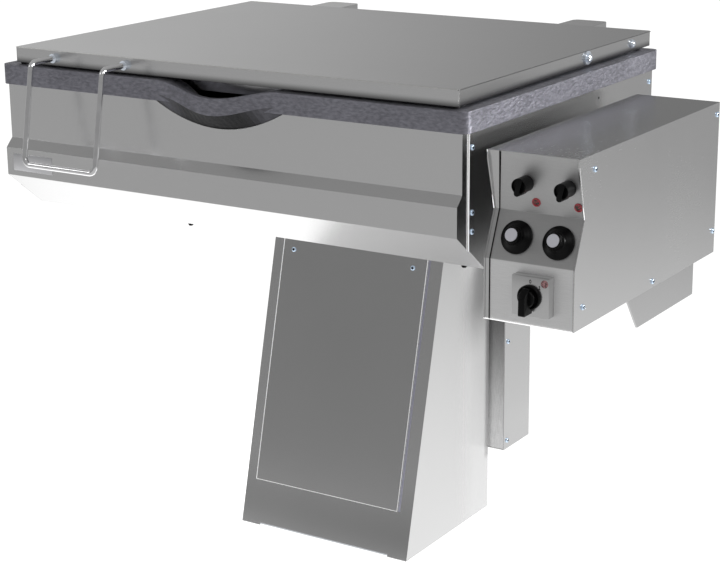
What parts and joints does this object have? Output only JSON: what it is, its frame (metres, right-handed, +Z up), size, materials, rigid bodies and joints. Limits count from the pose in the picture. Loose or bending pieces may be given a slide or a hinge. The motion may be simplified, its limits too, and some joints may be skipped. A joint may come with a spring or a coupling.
{
  "type": "tilting bratt pan",
  "caption": "Tilting bratt pan: cast pan with pouring lip and hinged lid on a raked pedestal, motor tilt gear, and a control box carried on a side beam.",
  "frame": {"origin": "centre of the pedestal's floor bolt pattern, on the floor", "axes": "+X to the operator's right across the pan and control box, +Y to the rear where the lid is hinged, +Z up"},
  "size_m": [1.0726, 0.84, 0.9],
  "materials": {
    "stainless_sheet": "brushed",
    "zinc_steel": "zinc plated",
    "cast_iron_dark": "as cast, oiled",
    "bright_steel": "polished",
    "painted_steel": "satin paint",
    "gear_steel": "ground",
    "bronze": "turned",
    "black_plastic": "matt",
    "grey_plastic": "matt",
    "red_lens": "gloss",
    "copper_alloy": "drawn",
    "dark_sheath": "heat tinted",
    "mineral_wool": "fibrous",
    "rubber_pad": "matt"
  },
  "bodies": {
    "frame": {"base_plate": "painted_steel", "pedestal_casing": "stainless_sheet", "pedestal_door": "stainless_sheet", "bearing_cheeks": "painted_steel", "cheek_tie_bars": "zinc_steel", "bearing_bushes": "bronze", "gearbox": "painted_steel", "drive_motor": "painted_steel", "frame_bolts": "zinc_steel", "rear_housing": "zinc_steel", "rear_housing_cover": "stainless_sheet", "din_rail": "zinc_steel", "contactors": "black_plastic", "terminal_block": "grey_plastic", "cable_gland": "grey_plastic", "cross_beam": "stainless_sheet", "box_bracket": "stainless_sheet", "control_box_shell": "stainless_sheet", "control_box_inner_cover": "stainless_sheet", "control_fascia": "stainless_sheet", "casing_screws": "zinc_steel", "rotary_switches": "grey_plastic", "thermostats": "copper_alloy", "switch_plate": "grey_plastic", "pilot_lights": "red_lens", "limit_switches": "black_plastic"},
    "pan": {"pan_casting": "cast_iron_dark", "front_panel": "stainless_sheet", "side_panel_left": "stainless_sheet", "side_panel_right": "stainless_sheet", "rear_panel": "stainless_sheet", "bottom_panel": "stainless_sheet", "pan_fasteners": "zinc_steel", "insulation_mat": "mineral_wool", "heating_elements": "dark_sheath", "element_clamps": "zinc_steel", "temperature_probes": "copper_alloy", "tilt_frame": "painted_steel", "tilt_shaft": "bright_steel", "tilt_gear_segment": "gear_steel", "shaft_collars": "zinc_steel", "hinge_brackets": "painted_steel", "hinge_pins": "bright_steel", "hinge_springs": "zinc_steel"},
    "lid": {"lid_shell": "stainless_sheet", "lid_liner": "stainless_sheet", "lid_side_bars": "zinc_steel", "lid_bolts": "zinc_steel", "lid_buffers": "rubber_pad", "hinge_housings": "stainless_sheet", "lid_handle": "bright_steel", "handle_nuts": "zinc_steel"},
    "pinion": {"drive_pinion": "gear_steel"},
    "zone_knob_left": {"zone_knob_left": "black_plastic"},
    "zone_knob_right": {"zone_knob_right": "black_plastic"},
    "thermostat_knob_left": {"thermostat_knob_left": "black_plastic", "thermostat_cap_left": "grey_plastic"},
    "thermostat_knob_right": {"thermostat_knob_right": "black_plastic", "thermostat_cap_right": "grey_plastic"},
    "main_switch_knob": {"main_switch_knob": "black_plastic"}
  },
  "joints": [
    {"name": "pan_tilt", "type": "hinge", "parent": "frame", "child": "pan", "pos_m": [0, -0.027, 0.585], "axis": [1, 0, 0], "range_deg": [0, 80]},
    {"name": "lid_hinge", "type": "hinge", "parent": "pan", "child": "lid", "pos_m": [0, 0.3075, 0.868], "axis": [-1, 0, 0], "range_deg": [0, 85]},
    {"name": "pinion_turn", "type": "hinge", "parent": "frame", "child": "pinion", "pos_m": [0.032, 0.02314, 0.52525], "axis": [1, 0, 0], "range_deg": [-165, 2]},
    {"name": "zone_switch_left", "type": "hinge", "parent": "frame", "child": "zone_knob_left", "pos_m": [0.5344, -0.39919, 0.77229], "axis": [0, -1, 0], "range_deg": [-135, 135]},
    {"name": "zone_switch_right", "type": "hinge", "parent": "frame", "child": "zone_knob_right", "pos_m": [0.6018, -0.39919, 0.77229], "axis": [0, -1, 0], "range_deg": [-135, 135]},
    {"name": "thermostat_left", "type": "hinge", "parent": "frame", "child": "thermostat_knob_left", "pos_m": [0.5204, -0.40308, 0.69012], "axis": [0, -0.9219, 0.3875], "range_deg": [-270, 0]},
    {"name": "thermostat_right", "type": "hinge", "parent": "frame", "child": "thermostat_knob_right", "pos_m": [0.5878, -0.40308, 0.69012], "axis": [0, -0.9219, 0.3875], "range_deg": [-270, 0]},
    {"name": "main_switch", "type": "hinge", "parent": "frame", "child": "main_switch_knob", "pos_m": [0.5585, -0.417, 0.6135], "axis": [0, -1, 0], "range_deg": [-45, 0]}
  ],
  "couplings": [
    {"joint": "pinion_turn", "follows": "pan_tilt", "ratio": -2}
  ]
}
